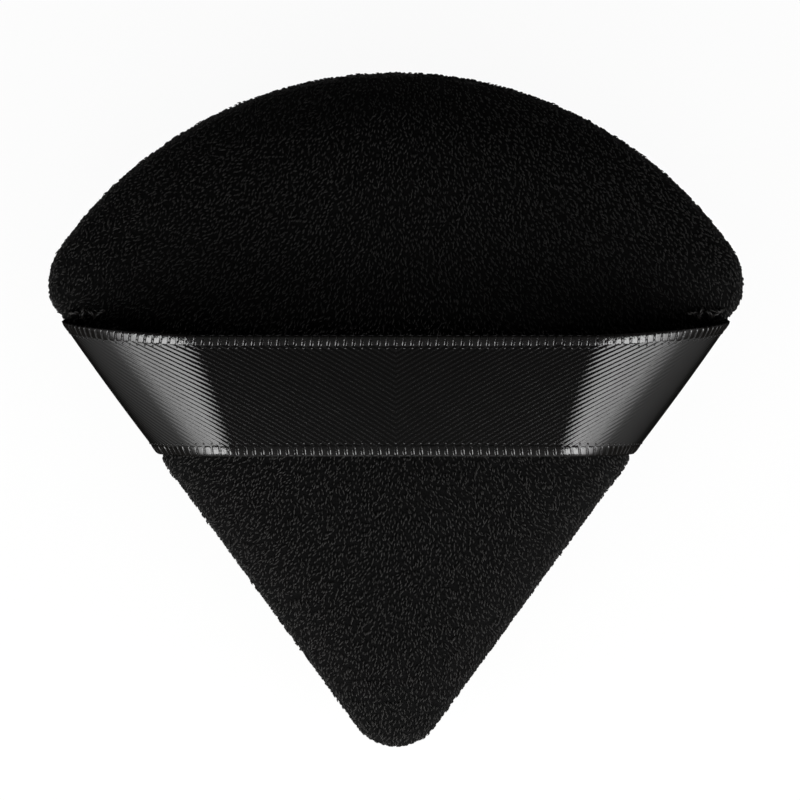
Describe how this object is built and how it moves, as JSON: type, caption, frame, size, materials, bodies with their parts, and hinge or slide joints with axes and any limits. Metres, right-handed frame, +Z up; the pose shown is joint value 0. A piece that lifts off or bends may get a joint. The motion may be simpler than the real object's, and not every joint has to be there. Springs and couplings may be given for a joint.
{
  "type": "triangular powder puff",
  "caption": "Rounded triangular velour powder puff with a foam core and a satin ribbon across the front that the fingers slip under.",
  "frame": {"origin": "middle of the resting face's plane, under the centre of the puff's bounding box, with the puff lying on its powder side", "axes": "+Z up from the powder side to the ribbon side, +Y from the tip to the arch, +X to the right as seen from the ribbon side"},
  "size_m": [0.0742, 0.072, 0.022],
  "materials": {
    "velour": "black short-pile velour",
    "satin": "black satin with corded selvedges",
    "foam": "dark open-cell foam",
    "thread": "black polyester sewing thread"
  },
  "bodies": {
    "root": {"front_cover": "velour", "back_cover": "velour", "foam_core": "foam", "finger_ribbon": "satin", "seam_needle_thread": "thread", "seam_bobbin_thread": "thread", "closing_thread": "thread", "left_end_stitches": "thread", "right_end_stitches": "thread"}
  },
  "joints": []
}
